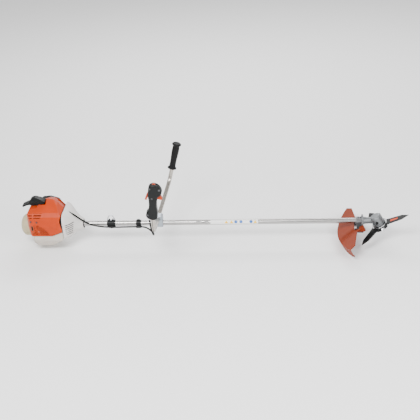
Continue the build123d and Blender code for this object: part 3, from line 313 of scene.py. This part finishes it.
def tube_along(path, radius_at, around):
    """Vertices and faces of a closed round tube; radius_at(distance) gives its radius."""
    verts, faces = [], []
    up = Vector((0, 1, 0))
    travelled = 0.0
    for i, point in enumerate(path):
        ahead = path[min(i + 1, len(path) - 1)] - path[max(i - 1, 0)]
        ahead.normalize()
        side = ahead.cross(up).normalized()
        up = side.cross(ahead).normalized()
        if i:
            travelled += (point - path[i - 1]).length
        radius = radius_at(travelled)
        for k in range(around):
            angle = 2 * math.pi * k / around
            verts.append(point + side * math.cos(angle) * radius + up * math.sin(angle) * radius)
    for i in range(len(path) - 1):
        for k in range(around):
            a = i * around + k
            b = i * around + (k + 1) % around
            faces.append((a, b, b + around, a + around))
    faces.append(tuple(range(around))[::-1])
    faces.append(tuple(range(len(verts) - around, len(verts))))
    return verts, faces


def make_cable():
    """Throttle cable and stop wire in one ribbed black sleeve, bent between its clip and the handlebar."""
    path = curve_path(CABLE_ROUTE)
    rib_height, rib_pitch = 0.00018, 0.0048

    def radius_at(distance):
        return CABLE_R - rib_height + rib_height * math.cos(2 * math.pi * distance / rib_pitch)

    verts, faces = tube_along(path, radius_at, 20)
    cable = new_piece("throttle_cable_sleeve", verts, faces, "black_rubber")
    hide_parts("throttle_cable")
    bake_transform(cable)


def make_rope():
    """Starter rope from the pulley's winding, round its guide and up into the pull handle."""
    path = curve_path(ROPE_ROUTE)
    strand_height, strand_pitch = 0.00008, 0.0032

    def radius_at(distance):
        return ROPE_R - strand_height + strand_height * math.cos(2 * math.pi * distance / strand_pitch)

    verts, faces = tube_along(path, radius_at, 14)
    rope = new_piece("starter_rope_twisted", verts, faces, "rope_fibre")
    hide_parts("starter_rope")
    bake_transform(rope)


def grid_faces(rows, columns):
    """Quads of a grid of points stored row by row."""
    return [(r * columns + c, r * columns + c + 1, (r + 1) * columns + c + 1, (r + 1) * columns + c)
            for r in range(rows - 1) for c in range(columns - 1)]


def wrapped(name, rows, radius, material):
    """A thin film on the tube. Each row is (angle round the tube, rear x, front x)."""
    steps = 12
    verts = []
    for angle, rear, front in rows:
        for k in range(steps + 1):
            x = rear + (front - rear) * k / steps
            verts.append((x, -math.cos(angle) * radius, math.sin(angle) * radius))
    film = new_piece(name, verts, grid_faces(len(rows), steps + 1), material)
    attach(film, "machine")


def rows_between(low, high, count, half_width, centre):
    """Rows for wrapped(): half_width(share) gives the shape's half width at a share of its height."""
    rows = []
    for n in range(count + 1):
        share = n / count
        half = half_width(share)
        rows.append((low + (high - low) * share, centre - half, centre + half))
    return rows


def straight(half):
    return lambda share: half


def disc(share):
    return 0.0078 * math.sqrt(max(0.0, 1 - (2 * share - 1) ** 2)) + 0.0001


def triangle(share):
    return 0.0088 * (1 - share) + 0.0001


# along the tube: the label's middle and half length, its blank marks, and the bars printed behind it
LABEL_ANGLE = math.radians(33)
LABEL_X, LABEL_HALF = 0.366, 0.114
LABEL_MARKS = ((triangle, 0.328), (triangle, 0.353), (disc, 0.374), (disc, 0.398), (disc, 0.446),
               (triangle, 0.466))
TUBE_BARS = ((0.196, 0.012), (0.216, 0.007), (0.233, 0.010))


def make_tube_label():
    """Long plain label with coloured blank shapes where the safety symbols sit, and three plain bars."""
    half = math.radians(50)
    reach = math.radians(34)
    rows = rows_between(LABEL_ANGLE - half, LABEL_ANGLE + half, 24, straight(LABEL_HALF), LABEL_X)
    wrapped("tube_label", rows, TUBE_R + FILM, "label_film")
    for n, (shape, x) in enumerate(LABEL_MARKS):
        rows = rows_between(LABEL_ANGLE - reach, LABEL_ANGLE + reach, 18, shape, x)
        colour = "label_blue" if shape is disc else "label_yellow"
        wrapped(f"label_mark_{n}", rows, TUBE_R + MARK_FILM, colour)
    for n, (x, length) in enumerate(TUBE_BARS):
        low = LABEL_ANGLE + math.radians(4 - 14 * (n % 2))
        rows = rows_between(low, low + math.radians(12), 4, straight(length), x)
        wrapped(f"tube_print_{n}", rows, TUBE_R + FILM, "label_dark")


def make_knife_print():
    """Plain orange print on the front arm's upper face."""
    u = Vector((math.cos(HEAD_TILT), 0, math.sin(HEAD_TILT)))
    t = Vector((math.sin(HEAD_TILT), 0, -math.cos(HEAD_TILT)))
    v = Vector((0, -1, 0))
    out = u * math.cos(KNIFE_TURN) + v * math.sin(KNIFE_TURN)
    across = v * math.cos(KNIFE_TURN) - u * math.sin(KNIFE_TURN)
    origin = Vector((HEAD_X, 0, 0)) + t * (KNIFE_S - 0.00006)
    inner_reach, length, steps = 0.056, 0.038, 10
    verts = []
    for i in range(steps + 1):
        share = i / steps
        half = 0.0066 - 0.0016 * share
        for k in range(5):
            verts.append(origin + out * (inner_reach + length * share) + across * half * (k / 2 - 1))
    patch = new_piece("knife_print", verts, grid_faces(steps + 1, 5), "print_orange", smooth=False)
    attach(patch, "cutting_tool")


make_cable()
make_rope()
make_tube_label()
make_knife_print()


# ---------------------------------------------------------------- stage
def make_floor(height):
    """Pale plain floor, just under the machine."""
    bpy.ops.mesh.primitive_plane_add(size=40, location=(0, 0, height))
    floor = bpy.context.object
    floor.name = "floor"
    material = bpy.data.materials.new("floor_pale")
    material.use_nodes = True
    shader = material.node_tree.nodes["Principled BSDF"]
    shader.inputs["Base Color"].default_value = (0.93, 0.93, 0.93, 1)
    shader.inputs["Roughness"].default_value = 0.9
    shader.inputs["Specular IOR Level"].default_value = 0.1
    floor.data.materials.append(material)


def make_light(name, place, target, size, power):
    """A rectangular softbox aimed at target."""
    data = bpy.data.lights.new(name, "AREA")
    data.shape = "RECTANGLE"
    data.size = size[0]
    data.size_y = size[1]
    data.energy = power
    light = bpy.data.objects.new(name, data)
    bpy.context.collection.objects.link(light)
    light.location = place
    light.rotation_mode = "QUATERNION"
    light.rotation_quaternion = (Vector(target) - Vector(place)).to_track_quat("-Z", "Y")


def make_camera():
    """Above the operator's right, 4.5 m from the handlebar clamp, aimed at the tube and rolled a little."""
    turn, rise, roll = math.radians(10.5), math.radians(30.5), math.radians(-4.13)
    target = Vector((0.2527, 0.0, 0.0670))
    place = 4.5 * Vector((math.sin(turn) * math.cos(rise), -math.cos(turn) * math.cos(rise), math.sin(rise)))
    back = (place - target).normalized()
    level = Vector((0, 0, 1)).cross(back).normalized()
    upright = back.cross(level)
    right = level * math.cos(roll) + upright * math.sin(roll)
    up = upright * math.cos(roll) - level * math.sin(roll)
    data = bpy.data.cameras.new("camera")
    data.sensor_width = 36.0
    data.lens = 79.86
    data.clip_end = 100
    camera = bpy.data.objects.new("camera", data)
    bpy.context.collection.objects.link(camera)
    camera.matrix_world = Matrix((
        (right.x, up.x, back.x, place.x),
        (right.y, up.y, back.y, place.y),
        (right.z, up.z, back.z, place.z),
        (0, 0, 0, 1),
    ))
    bpy.context.scene.camera = camera


def make_world():
    """Even white light all round."""
    world = bpy.data.worlds.new("studio")
    bpy.context.scene.world = world
    world.use_nodes = True
    background = world.node_tree.nodes["Background"]
    background.inputs["Color"].default_value = (1.0, 1.0, 1.0, 1)
    background.inputs["Strength"].default_value = 0.85


low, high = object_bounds()
make_floor(low.z - 0.0005)
make_world()
make_light("key", (-0.6, -2.2, 2.8), (0.2, 0, 0), (1.8, 1.2), 170)
make_light("fill", (2.2, -2.0, 1.6), (0.6, 0, 0), (1.2, 1.2), 60)
make_light("back", (0.3, 2.6, 2.2), (0.2, 0, 0), (3.0, 1.0), 90)
make_camera()
